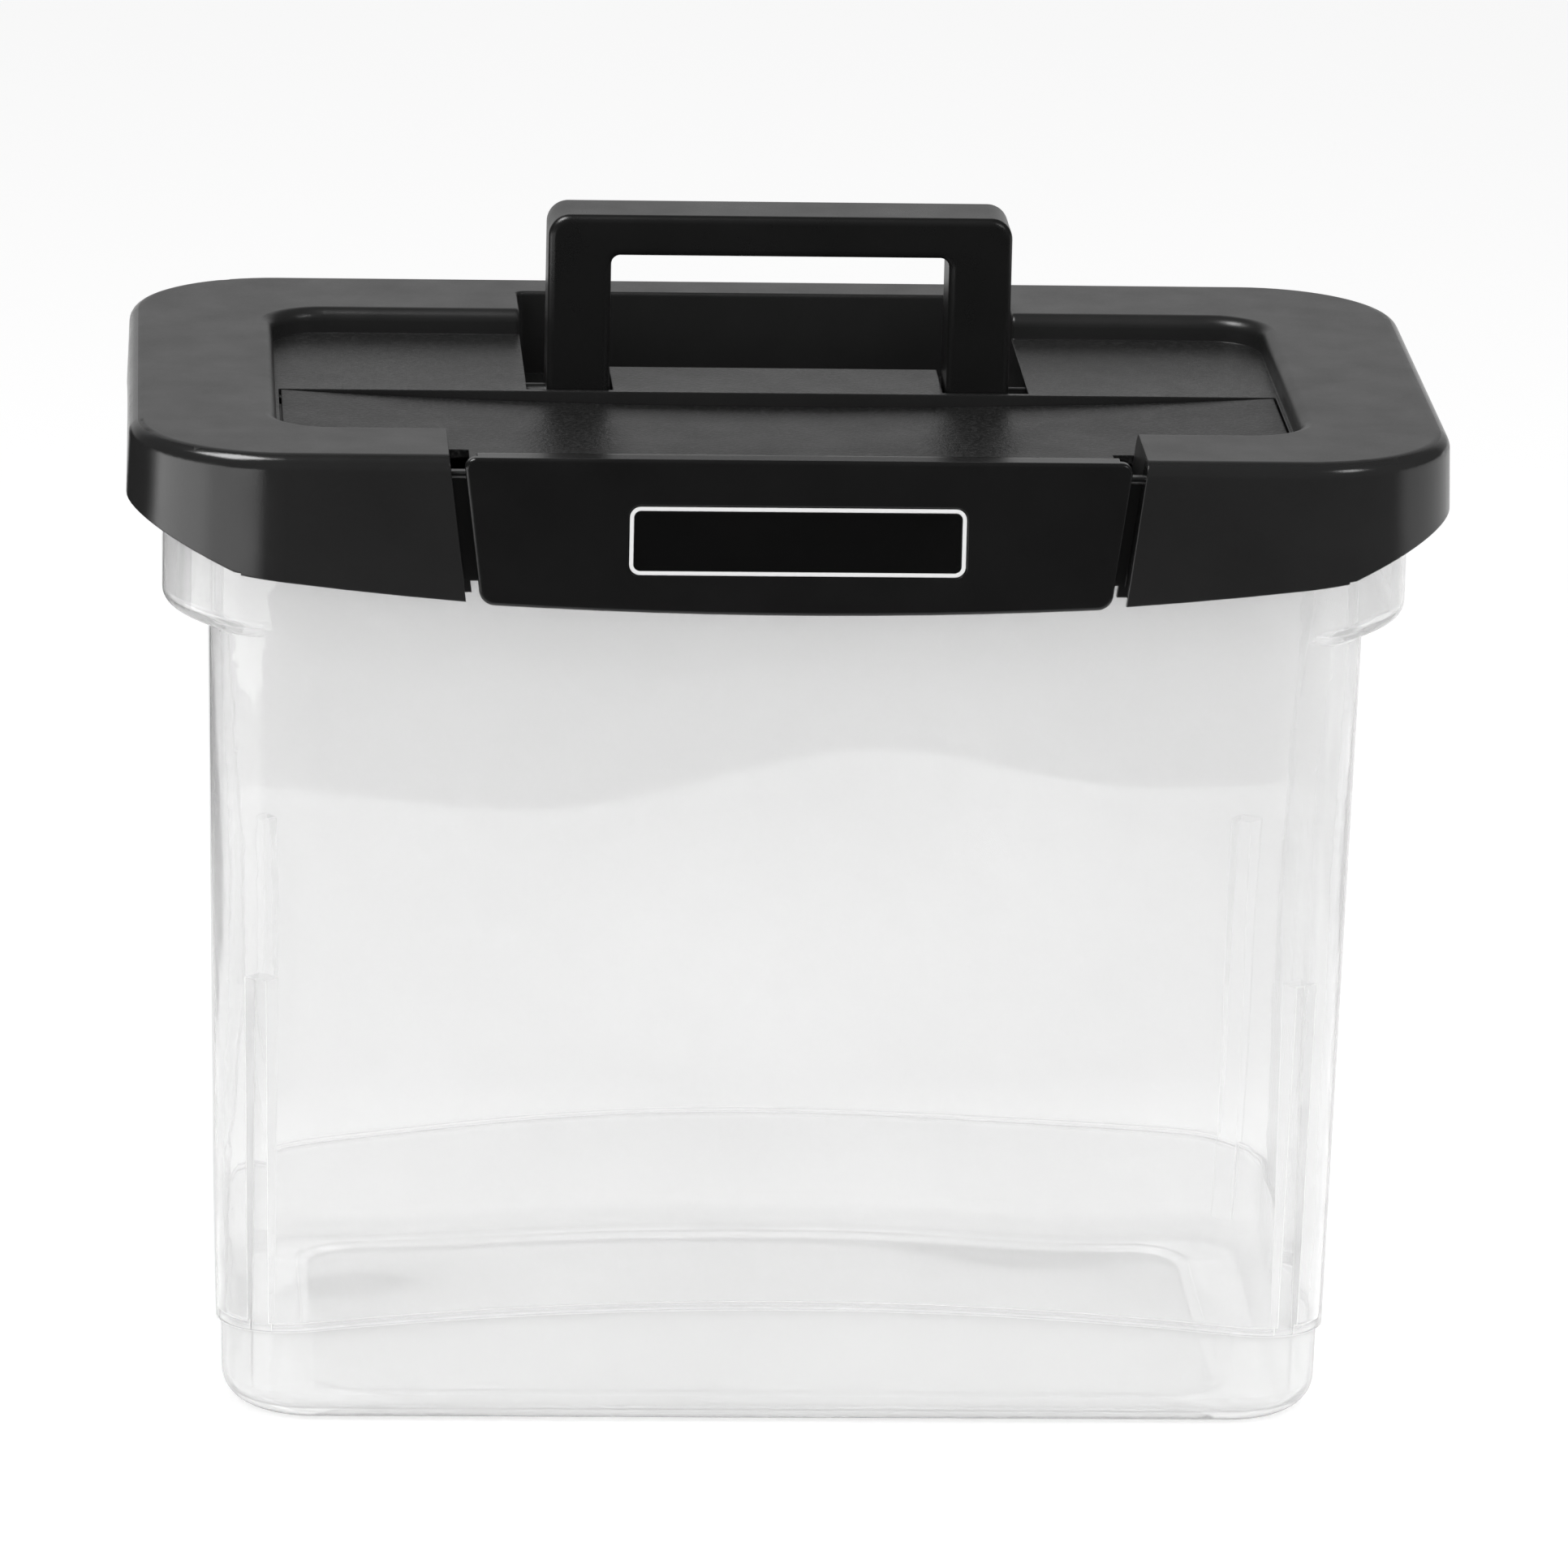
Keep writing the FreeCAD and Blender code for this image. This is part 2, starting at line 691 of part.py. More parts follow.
def make_lid():
    lid = new_body("lid")
    under = size.lid_top - size.lid_wall
    tray_floor = size.lid_top - size.recess_depth
    ledge = tray_floor - size.flap_thick - size.flap_gap
    wall = size.lid_wall

    block(lid, "lid_shell", "XY", size.skirt_low, size.lid_top, lid_loop(size.lid_top, size.zero))
    draft(lid, "lid_flare", size.lid_flare / (size.lid_top - size.skirt_low), size.lid_top)
    fillet(lid, "lid_round", size.lid_round, lies_at("Z", size.lid_top))
    cavity_low = size.skirt_low - size.overrun
    loft(lid, "lid_cavity", "Subtractive", "XY", [
        (cavity_low, lid_loop(cavity_low, wall)),
        (under, lid_loop(under, wall)),
    ])
    far_y = size.lid_depth / 2 + size.lid_flare + size.overrun
    hollow(lid, "skirt_front", "XZ", -far_y, far_y, skirt_front_loop())
    near_x, far_x = size.skirt_front_width / 2, size.lid_width / 2 + size.lid_flare + size.overrun
    hollow(lid, "skirt_right", "YZ", near_x, far_x, skirt_side_loop())
    hollow(lid, "skirt_left", "YZ", -far_x, -near_x, skirt_side_loop())

    # Walls under the sunk tray, the organizer pocket and the handle well
    half_recess = size.recess_width / 2
    half_seat = half_recess - size.flap_frame
    tray_half = half_recess + wall
    tray_low = ledge - wall - wall
    block(lid, "tray_rear", "XY", tray_floor - wall, under + size.sink, rectangle(
        -tray_half, tray_half, -size.seam, size.recess_back + wall))
    block(lid, "tray_front", "XY", tray_low, under + size.sink, rectangle(
        -tray_half, tray_half, -size.recess_front - wall, wall - size.seam))
    half_pocket = size.organizer_width / 2
    half_neck = size.organizer_neck_width / 2
    block(lid, "organizer", "XY", size.organizer_floor - wall, under + size.sink, rectangle(
        -half_pocket - wall, half_pocket + wall, -size.organizer_front - wall, wall - size.seam))
    half_bay = size.opening_top_width / 2 + size.cheek_wall
    block(lid, "organizer_neck", "XY", size.organizer_floor - wall, under + size.sink, rectangle(
        -half_bay, half_bay, -size.organizer_neck_front - wall, -size.organizer_front))
    half_well = size.well_width / 2
    block(lid, "well", "XY", size.well_floor - wall, under + size.sink, rectangle(
        -half_well - wall, half_well + wall, -size.seam, size.well_back + wall))
    for name, sign in both("seat_rib"):
        low, high = span(size.seat_rib_spacing / 2, size.seat_rib_width, sign)
        half_rib = size.seat_rib_length / 2
        block(lid, name, "XY", size.tub_height + size.seat_gap, under + size.sink, rectangle(
            low, high, -half_rib, half_rib))

    # Cheek walls on both sides of the latch; below the tub's rim they stay in front of its wall
    skirt_inside = size.lid_depth / 2 - wall + size.sink
    above_rim = size.tub_height + size.cheek_gap
    tub_front = size.tub_rim_depth / 2 + size.cheek_gap
    for name, sign in both("cheek"):
        block(lid, name + "_upper", "XZ", -skirt_inside, -size.recess_front, cheek_loop(
            sign, above_rim, under + size.sink, size.sink, size.cheek_wall))
        block(lid, name + "_lower", "XZ", -skirt_inside, -tub_front, cheek_loop(
            sign, size.cheek_wall_low, under + size.sink, size.sink, size.cheek_wall))

    # Sunk tray, the flap's seat, the organizer pocket and the handle well
    hollow(lid, "recess", "XY", tray_floor, size.lid_top + size.overrun, rounded(
        -half_recess, half_recess, -size.recess_front, size.recess_back, size.recess_corner))
    fillet(lid, "recess_round", size.recess_round, recess_rim)
    hollow(lid, "flap_seat", "XY", ledge, size.lid_top, tray_front_loop(
        half_seat, size.recess_front, size.seam, size.recess_corner - size.flap_frame))
    hollow(lid, "flap_hinge_relief", "XY", ledge - size.flap_relief, size.lid_top, rectangle(
        -half_seat, half_seat, -flap_axis_y() - size.overrun, -size.seam))
    hollow(lid, "organizer_pocket", "XY", size.organizer_floor, size.lid_top, [
        (-half_pocket, -size.organizer_front),
        (-half_neck, -size.organizer_front),
        (-half_neck, -size.organizer_neck_front),
        (half_neck, -size.organizer_neck_front),
        (half_neck, -size.organizer_front),
        (half_pocket, -size.organizer_front),
        (half_pocket, -size.seam),
        (-half_pocket, -size.seam),
    ])
    for name, sign in both("tongue_bay"):
        inner, outer = size.tongue_width / 2, opening_half(ledge)
        low, high = span((inner + outer) / 2, outer - inner, sign)
        hollow(lid, name, "XY", size.organizer_floor, size.lid_top, rectangle(
            low, high, -size.organizer_neck_front, -size.organizer_front))
    hollow(lid, "handle_well", "XY", size.well_floor, size.lid_top + size.overrun, well_loop())
    fillet(lid, "well_round", size.well_round, well_rim)
    top = size.lid_top + size.overrun
    hollow(lid, "tongue_seat", "XZ", -far_y, -size.recess_front, opening_loop(ledge, top))
    hollow(lid, "latch_opening", "XZ", -far_y, -size.opening_back, opening_loop(cavity_low, top))

    # Returns of the cheek walls, which close the gaps beside the latch, with feet down to the skirt's edge
    foot_low = size.skirt_front_low + sag(size.skirt_front_radius, size.opening_low_width / 2)
    for name, sign in both("cheek_return"):
        block(lid, name, "XZ", -tub_front - size.cheek_wall, -tub_front, cheek_loop(
            sign, size.cheek_wall_low, latch_axis()[1], size.cheek_return, size.sink))
        block(lid, name + "_foot", "XZ", -tub_front - size.cheek_wall, -tub_front, cheek_loop(
            sign, foot_low, size.cheek_wall_low + size.sink, size.cheek_foot, size.cheek_wall))

    # Bosses and bores for the pins, and the rear knuckles
    for name, sign in both("handle_boss"):
        depth, boss = wall + size.handle_boss_depth, size.handle_boss
        low, high = span(half_well + depth / 2, depth, sign)
        y, z = handle_axis()
        block(lid, name, "YZ", low, high, rectangle(y - boss, y + boss, z - boss, tray_floor - size.sink))
    reach = half_well + wall + size.handle_boss_depth + size.overrun
    hollow(lid, "handle_bores", "YZ", -reach, reach, (
        *handle_axis(), size.handle_pin_radius + size.pin_clearance))
    for name, sign in both("flap_boss"):
        low, high = span(half_recess + wall, wall + wall, sign)
        boss = size.flap_boss
        y, z = -flap_axis_y(), flap_axis_z()
        block(lid, name, "YZ", low, high, rectangle(y - boss, y + boss, z - boss, z + boss))
    reach = half_recess + wall + wall
    for name, sign in both("flap_bore"):
        low, high = span((half_seat + reach) / 2, reach - half_seat + size.sink, sign)
        hollow(lid, name, "YZ", low, high, (
            -flap_axis_y(), flap_axis_z(), size.flap_pin_radius + size.pin_clearance))
    reach = size.opening_top_width / 2 + size.cheek_wall
    hollow(lid, "rod_bores", "YZ", -reach, reach, (
        *latch_axis(), size.latch_rod_radius + size.pin_clearance))
    for name, sign in both("knuckle"):
        low, high = span(size.hinge_spacing / 2, size.hinge_knuckle, sign)
        block(lid, name, "YZ", low, high, knuckle_loop())
    reach = size.hinge_spacing / 2 + size.hinge_knuckle
    hollow(lid, "knuckle_bores", "YZ", -reach, reach, (
        size.hinge_y, size.hinge_z, size.hinge_pin_radius + size.pin_clearance))
    return lid


def recess_rim(edge):
    """Picks the upper edges of the sunk tray."""
    half_recess = size.recess_width / 2
    box = edge.BoundBox
    inside = box.XMax < half_recess.value + TOUCH and box.XMin > -half_recess.value - TOUCH
    within = box.YMax < size.recess_back.value + TOUCH and box.YMin > -size.recess_front.value - TOUCH
    return lies_at("Z", size.lid_top)(edge) and inside and within


def well_rim(edge):
    """Picks the well's upper edges in the rear rim."""
    half_well = size.well_width / 2
    box = edge.BoundBox
    inside = box.XMax < half_well.value + TOUCH and box.XMin > -half_well.value - TOUCH
    within = box.YMax < size.well_back.value + TOUCH and box.YMin > size.recess_back.value - TOUCH
    return lies_at("Z", size.lid_top)(edge) and inside and within


def knuckle_loop():
    """Knuckle that grows out of the inside of the rear skirt."""
    low = size.hinge_z - size.hinge_knuckle_radius
    high = size.hinge_z + size.hinge_knuckle_radius
    skirt = size.lid_depth / 2 - size.sink
    return [
        (size.hinge_y, high, size.hinge_knuckle_radius, 1),
        (size.hinge_y - size.hinge_knuckle_radius, size.hinge_z, size.hinge_knuckle_radius, 1),
        (size.hinge_y, low),
        (skirt, low),
        (skirt, high),
    ]


# Carry handle

def handle_axis():
    """Place of the handle's pivot across the lid: the handle folds flush with the lid's top."""
    half_thick = size.handle_thick / 2
    return size.handle_gap + half_thick, size.lid_top - half_thick


def handle_loop():
    half = size.handle_width / 2
    inner = half - size.handle_leg
    low = size.lid_top - size.handle_thick
    top = size.handle_top
    grip = top - size.handle_grip
    corner, hole = size.handle_corner, size.handle_inner_corner
    return [
        (-half, low),
        (-inner, low),
        (-inner, grip - hole, hole, -1),
        (hole - inner, grip),
        (inner - hole, grip, hole, -1),
        (inner, grip - hole),
        (inner, low),
        (half, low),
        (half, top - corner, corner, 1),
        (half - corner, top),
        (corner - half, top, corner, 1),
        (-half, top - corner),
    ]


def make_carry_handle():
    handle = new_body("carry_handle")
    front = size.handle_gap
    back = front + size.handle_thick
    block(handle, "handle_bow", "XZ", front, back, handle_loop())
    low = size.lid_top - size.handle_thick

    def heel(edge):
        across = edge.BoundBox.XLength > size.handle_leg.value - TOUCH
        return lies_at("Z", low)(edge) and across

    fillet(handle, "handle_heels", size.handle_heel, heel)
    fillet(handle, "handle_rounds", size.handle_round, lies_at("Y", front, back))
    reach = size.handle_width / 2 + size.overrun
    hollow(handle, "leg_bores", "YZ", -reach, reach, (
        *handle_axis(), size.handle_pin_radius + size.pin_clearance))
    return handle


# Organizer flap

def flap_axis_y():
    """Distance of the flap's hinge line in front of the middle."""
    return size.flap_rear + size.flap_thick


def flap_axis_z():
    return size.lid_top - size.recess_depth - size.flap_thick


def flap_loop():
    half, corner = size.flap_width / 2, size.flap_corner
    notch, tongue = size.flap_notch_width / 2, size.tongue_width / 2
    right = [
        (tongue, -size.tongue_front),
        (tongue, -size.flap_notch_front),
        (notch, -size.flap_notch_front),
        (notch, -size.flap_front),
        (half - corner, -size.flap_front, corner, 1),
        (half, corner - size.flap_front),
        (half, -size.flap_rear),
    ]
    left = [
        (-half, -size.flap_rear),
        (-half, corner - size.flap_front, corner, 1),
        (corner - half, -size.flap_front),
        (-notch, -size.flap_front),
        (-notch, -size.flap_notch_front),
        (-tongue, -size.flap_notch_front),
        (-tongue, -size.tongue_front),
    ]
    return left + right


def dish_loop(depth):
    """Section above the flap's hollowed top, as deep as depth at the middle."""
    half = size.flap_width / 2
    top = size.lid_top - size.recess_depth
    return [
        (-half, top, sag_radius(depth, half), 1),
        (half, top),
        (half, top + size.overrun),
        (-half, top + size.overrun),
    ]


def flap_belly_loop(front):
    """Side view of the flap's underside, which keeps the plate's thickness below the hollowed top."""
    top = size.lid_top - size.recess_depth

    def under(distance):
        fade = (size.flap_dish_end - size.flap_dish) * (distance / size.tongue_front)
        return top - size.flap_dish - fade - size.flap_thick

    rear = size.flap_rear
    return [(-front, under(front)), (-rear, under(rear)), (-rear, top), (-front, top)]


def make_organizer_flap():
    flap = new_body("organizer_flap")
    top = size.lid_top - size.recess_depth
    under = top - size.flap_thick
    block(flap, "flap_plate", "XY", under, top, flap_loop())
    half_belly = size.organizer_width / 2 - size.flap_belly_gap
    block(flap, "flap_belly", "YZ", -half_belly, half_belly, flap_belly_loop(
        size.organizer_front - size.flap_belly_gap))
    half_neck = size.organizer_neck_width / 2 - size.flap_belly_gap
    block(flap, "flap_neck_belly", "YZ", -half_neck, half_neck, flap_belly_loop(
        size.organizer_neck_front - size.flap_belly_gap))
    half = size.flap_width / 2
    for name, sign in both("flap_knuckle"):
        low, high = span(half - size.flap_knuckle / 2, size.flap_knuckle, sign)
        block(flap, name, "YZ", low, high, (-flap_axis_y(), flap_axis_z(), size.flap_thick))
    loft(flap, "flap_dish", "Subtractive", "XZ", [
        (size.zero, dish_loop(size.flap_dish)),
        (-size.tongue_front, dish_loop(size.flap_dish_end)),
    ])
    for name, sign in both("flap_knuckle_bore"):
        low, high = span(half - size.flap_knuckle / 2, size.flap_knuckle, sign)
        hollow(flap, name, "YZ", low, high, (
            -flap_axis_y(), flap_axis_z(), size.flap_pin_radius + size.pin_clearance))
    return flap


# Front latch

def latch_axis():
    """Place of the latch's rod: the latch's rolled top is level with the lid and its face."""
    return size.latch_barrel - size.latch_face, size.lid_top - size.latch_barrel


def latch_half(height):
    """Half the latch's width at a height, inside the opening between the cheeks."""
    return opening_half(height) - size.latch_side_gap


def latch_loop():
    """Front view of the latch's plate, with rounded corners and a slightly bowed lower edge."""
    corner, low = size.latch_corner, size.latch_corner_low
    top_corner, top = size.latch_top_corner, size.lid_top
    half = latch_half(top - top_corner)
    low_half = latch_half(low + corner)
    flat = low_half - corner
    return [
        (-flat, low, sag_radius(low - size.latch_low, flat), 1),
        (flat, low, corner, 1),
        (low_half, low + corner),
        (half, top - top_corner, top_corner, 1),
        (half - top_corner, top),
        (top_corner - half, top, top_corner, 1),
        (-half, top - top_corner),
        (-low_half, low + corner, corner, 1),
    ]


def latch_barrel_loop(front):
    """Side view of the barrel behind the plate: flat on top, round behind."""
    axis_y, axis_z = latch_axis()
    radius = size.latch_barrel
    return [
        (front, axis_z - radius),
        (axis_y, axis_z - radius, radius, 1),
        (axis_y + radius, axis_z, radius, 1),
        (axis_y, axis_z + radius),
        (front, axis_z + radius),
    ]


def plate_loop(grow):
    half = size.plate_width / 2 + grow
    low = size.plate_low - grow
    high = size.plate_low + size.plate_height + grow
    return rounded(-half, half, low, high, size.plate_corner + grow)


def make_front_latch():
    latch = new_body("front_latch")
    axis_y, axis_z = latch_axis()
    face, inner = -size.latch_face, size.latch_plate - size.latch_face
    half = latch_half(axis_z) - size.latch_top_corner
    block(latch, "latch_plate", "XZ", face, inner, latch_loop())
    fillet(latch, "latch_round", size.latch_round, lies_at("Y", face))
    block(latch, "latch_barrel", "YZ", -half, half, latch_barrel_loop(inner - size.sink))
    half_hook = size.latch_hook_width / 2
    block(latch, "latch_hook", "XZ", inner - size.sink, -size.catch_reach - size.latch_hook_gap, rectangle(
        -half_hook, half_hook, size.latch_hook_low, size.latch_hook_low + size.latch_hook_height))
    hollow(latch, "plate_pocket", "XZ", face, face + size.plate_pocket, plate_loop(size.plate_gap))
    rear, front = size.notch_rear_width / 2, size.notch_front_width / 2
    notch_back = axis_y + size.latch_barrel
    notch_front = notch_back - size.notch_length
    hollow(latch, "finger_notch", "XY", size.lid_top - size.notch_depth, size.lid_top + size.overrun, [
        (-front, notch_front),
        (front, notch_front),
        (rear, notch_back),
        (-rear, notch_back),
    ])
    hollow(latch, "rod_bore", "YZ", -half, half, (
        axis_y, axis_z, size.latch_rod_radius + size.pin_clearance))
    return latch


def make_label_plate():
    plate = new_body("label_plate")
    seat = size.plate_pocket - size.latch_face
    face = seat - size.plate_thick
    block(plate, "plate", "XZ", face, seat, plate_loop(size.zero))
    hollow(plate, "plate_field", "XZ", face, face + size.plate_border_height, plate_loop(-size.plate_border))
    return plate


# Pins

def pin(name, x_low, x_high, y, z, radius):
    """Pin along X."""
    cylinder = doc.addObject("Part::Cylinder", name)
    cylinder.setExpression("Radius", radius.formula)
    cylinder.setExpression("Height", (x_high - x_low).formula)
    cylinder.Placement = FreeCAD.Placement(FreeCAD.Vector(), FreeCAD.Rotation(FreeCAD.Vector(0, 1, 0), 90))
    for axis, place in (("x", x_low), ("y", y), ("z", z)):
        cylinder.setExpression(f"Placement.Base.{axis}", place.formula)
    return cylinder


def pin_pair(name, x_near, x_far, y, z, radius):
    """Two pins that mirror each other, as one group."""
    pair = doc.addObject("Part::Compound", name)
    pair.Links = [
        pin(name + "_left", -x_far, -x_near, y, z, radius),
        pin(name + "_right", x_near, x_far, y, z, radius),
    ]
    return pair


def make_pins():
    leg_inside = size.handle_width / 2 - size.handle_leg
    boss_end = size.well_width / 2 + size.lid_wall + size.handle_boss_depth
    handle_pins = pin_pair(
        "handle_pivot_pins", leg_inside + size.sink, boss_end, *handle_axis(), size.handle_pin_radius)
    flap_near = size.flap_width / 2 - size.flap_knuckle + size.sink
    flap_far = size.recess_width / 2 + size.lid_wall + size.lid_wall
    flap_pins = pin_pair(
        "flap_hinge_pins", flap_near, flap_far, -flap_axis_y(), flap_axis_z(), size.flap_pin_radius)
    hinge_reach = size.hinge_knuckle / 2 + size.hinge_lug_gap + size.hinge_lug
    hinge_middle = size.hinge_spacing / 2
    hinge_pins = pin_pair(
        "lid_hinge_pins", hinge_middle - hinge_reach, hinge_middle + hinge_reach,
        size.hinge_y, size.hinge_z, size.hinge_pin_radius)
    rod_half = opening_half(latch_axis()[1]) + size.cheek_wall - size.sink
    rod = pin("latch_hinge_rod", -rod_half, rod_half, *latch_axis(), size.latch_rod_radius)
    return [handle_pins, flap_pins, hinge_pins, rod]


def write_parts(pieces):
    """Checks every object of the document and writes each piece to its own file."""
    doc.recompute()
    for item in doc.Objects:
        if "Invalid" in item.State or "Error" in item.State:
            raise RuntimeError(f"{item.Name} failed: {item.State}")
        if item.TypeId == "PartDesign::Pocket" and not item.Shape.Volume < item.BaseFeature.Shape.Volume:
            raise RuntimeError(f"{item.Name} cuts nothing")
    for piece in pieces:
        if piece.Shape.isNull() or not piece.Shape.isValid():
            raise RuntimeError(f"{piece.Label} has no valid shape")
    os.makedirs("parts", exist_ok=True)
    for piece in pieces:
        piece.Shape.exportStep(f"parts/{piece.Label}.step")
        print(piece.Label, len(piece.Shape.Solids), "solids", round(piece.Shape.Volume / 1000, 2), "cm3")


doc = FreeCAD.newDocument("file_box")
size = make_sheet()
add_derived_sizes()
write_parts([
    make_tub(),
    make_lid(),
    make_carry_handle(),
    make_organizer_flap(),
    make_front_latch(),
    make_label_plate(),
    *make_pins(),
])
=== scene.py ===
import math

import bpy
from mathutils import Matrix, Vector


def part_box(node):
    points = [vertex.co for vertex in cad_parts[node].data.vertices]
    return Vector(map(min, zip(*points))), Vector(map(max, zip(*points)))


# Looks of the portable file box: clear tub, black lid, handle, flap and latch.
# Metres, in the frame of the solids.

# Camera at the photograph's view, angles in degrees
CAMERA_AZIMUTH = -3.364
CAMERA_ELEVATION = 15.842
CAMERA_ROLL = 1.318
CAMERA_DISTANCE = 3.2
AIM_RIGHT = 0.00425
AIM_UP = 0.01945
PHOTO_PIXELS = 1932
FOCAL_PIXELS = 14000.0
SENSOR_WIDTH = 36.0

# Heights and reliefs of the solids that the finishes follow
LID_TOP = 0.281
RECESS_DEPTH = 0.007
PLATE_BORDER_HEIGHT = 0.0003

# World: brightness that each kind of ray meets; mirrors see a bright band low behind the box,
# and dark elsewhere
BACKDROP_STRENGTH = 1.0
AMBIENT_STRENGTH = 0.55
MIRROR_DARK_STRENGTH = 0.06
MIRROR_BAND_STRENGTH = 0.56
MIRROR_BAND_EDGES = (0.70, 0.96)

# Floor: its own colour, its glow for the eye, the sectors that mirrors see dark (middle and half width
# in degrees from the front, and the distance where they start), the dimmer stretch that clear walls
# show far behind, and painted light below the tub, seen only through the clear walls, that takes away
# the tub's shadow there
FLOOR_HALF_WIDTH = 12.0
FLOOR_COLOR = 0.50
FLOOR_GLOW = 0.62
FLOOR_MIRROR_SHARE = 0.60
FLOOR_DARK_COLOR = 0.02
FLOOR_DARK_SECTORS = ((10.0, 68.0), (-134.0, 26.0))
FLOOR_DARK_FADE = 4.0
FLOOR_DARK_START = (0.45, 0.65)
FLOOR_REAR = (0.59, 0.60)
FLOOR_REAR_SHARE = 0.52
FLOOR_UNDER_PAINTED_LIGHT = 1.2
FLOOR_UNDER_PAINTED_LIGHT_EDGES = (1.0, 2.2)

# Softboxes: name, place, point lit, width, height, watts, and which rays see them
SOFTBOXES = (
    ("overhead_softbox", (0.0, 0.10, 1.55), (0.0, 0.0, 0.20), 1.7, 1.2, 6.0, "diffuse"),
    ("high_softbox", (-0.55, -0.22, 1.19), (-0.16, -0.08, 0.28), 0.55, 0.5, 11.0, "glossy"),
    ("left_softbox", (-0.69, -0.53, 0.11), (-0.02, -0.32, 0.11), 1.4, 0.22, 1.9, "glossy"),
    ("front_fill", (0.0, -1.60, 0.55), (0.0, 0.0, 0.14), 1.2, 0.8, 4.0, "diffuse"),
    ("left_fill", (-0.90, -0.45, 0.35), (0.0, 0.0, 0.15), 0.9, 0.6, 3.2, "diffuse"),
    ("right_fill", (0.90, -0.40, 0.30), (0.0, 0.0, 0.12), 0.9, 0.6, 4.4, "diffuse"),
    ("left_key", (-0.90, -0.70, 1.25), (0.0, 0.0, 0.28), 0.35, 0.35, 3.0, "diffuse"),
    ("right_key", (0.90, -0.90, 1.25), (0.0, 0.0, 0.28), 0.35, 0.35, 3.0, "both"),
)

# Moulded black plastic: darkest and lightest grey, roughness, and depth of the very fine texture in metres
LID_BLACK = (0.014, 0.018, 0.32, 0.00002)
HANDLE_BLACK = (0.006, 0.008, 0.30, 0.00002)
FLAP_BLACK = (0.006, 0.009, 0.38, 0.00002)
LATCH_BLACK = (0.006, 0.008, 0.22, 0.00001)
PLATE_BLACK = (0.003, 0.004, 0.16, 0.000004)
PLATE_BORDER_COLOR = 0.80
PLASTIC_IOR = 1.49

# Unevenness of the black plastic: waves per metre, and how far the roughness wanders
CLOUD_WAVES = 22.0
TEXTURE_WAVES = 2600.0
TEXTURE_ROUGHNESS = 0.02
SMUDGE_WAVES = 60.0
SMUDGE_ROUGHNESS = 0.03

# Moulded plastic: radius of broken edges, the coarse grain of the tray and flap with a painted highlight
# in lighter grey on its raised tops, and the polish of the lid's skirt
EDGE_RADIUS = 0.0006
GRAIN_WAVES = 900.0
GRAIN_DEPTH = 0.00018
GRAIN_LEVEL_MARGIN = 0.0004
GRAIN_PEAK_HIGHLIGHT_RANGE = (0.45, 0.75)
GRAIN_PEAK_HIGHLIGHT_COLOR = 0.045
UPWARD = 0.95
POLISH_DROP = 0.0003
POLISH_REACH_SHARE = 0.90
POLISH = 0.16

# Clear plastic: look of its surface, and the slow waves of the mould in waves per metre and metres
CLEAR_IOR = 1.16
CLEAR_COLORS = (0.925, 0.945)
CLEAR_CLOUD_WAVES = 14.0
CLEAR_ROUGHNESS = (0.01, 0.025)
CLEAR_ROUGHNESS_WAVES = 35.0
CLEAR_COAT = 0.7
CLEAR_COAT_ROUGHNESS = 0.04
CLEAR_WAVES = 8.0
CLEAR_WAVE_DEPTH = 0.0100

# Clear plastic: light that passes straight through, also in the band under the arched line, at edges, which
# it leaves whiter partly as real scattering and partly as a painted highlight, and at slanting walls, and
# the arched
# line as a parabola: height at the middle and fall per square metre
CLEAR_SHARE = 0.74
CLEAR_BAND_SHARE = 0.54
CLEAR_EDGE_HIGHLIGHT_SHARE = 0.15
CLEAR_SLANTS = (0.72, 0.95)
CLEAR_EDGE_HIGHLIGHT_TURN = (0.80, 0.99)
ARCH_TOP = 0.0345
ARCH_FALL = 0.42
ARCH_SOFTNESS = 0.0006

# Blackened steel: greys, roughness, and fine lines along the wire in waves per metre and metres
STEEL_COLORS = (0.05, 0.10)
STEEL_ROUGHNESS = (0.24, 0.36)
STEEL_LINES = 1800.0
STEEL_LINE_STRETCH = (0.02, 1.0, 1.0)
STEEL_LINE_DEPTH = 0.00002


